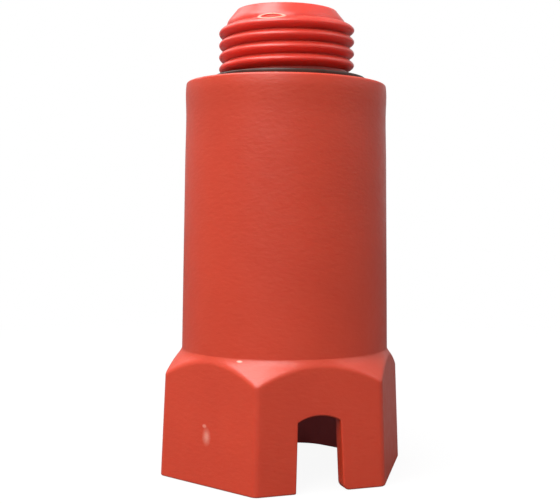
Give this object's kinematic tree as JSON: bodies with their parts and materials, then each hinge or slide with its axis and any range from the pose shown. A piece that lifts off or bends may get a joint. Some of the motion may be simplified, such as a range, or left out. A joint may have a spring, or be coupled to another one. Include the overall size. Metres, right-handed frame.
{
  "type": "construction plug",
  "caption": "Long hollow plastic plug with a male pipe thread, a plain barrel, a slotted hexagonal wrench skirt and a loose rubber seal ring under the thread.",
  "frame": {"origin": "centre of the skirt's open rim, on the plane that the plug stands on", "axes": "+Z along the plug towards its thread; the skirt's two slotted faces look along -Y and +Y"},
  "size_m": [0.039, 0.0342, 0.0709],
  "materials": {
    "red_plastic": "fine matte moulded plastic",
    "black_rubber": "satin rubber"
  },
  "bodies": {
    "plug": {"plug_body": "red_plastic"},
    "ring": {"seal_ring": "black_rubber"}
  },
  "joints": [
    {"name": "seal_ring_turn", "type": "hinge", "parent": "plug", "child": "ring", "pos_m": [0.00048, -0.00015, 0.06025], "axis": [0, 0, 1], "continuous": true}
  ]
}
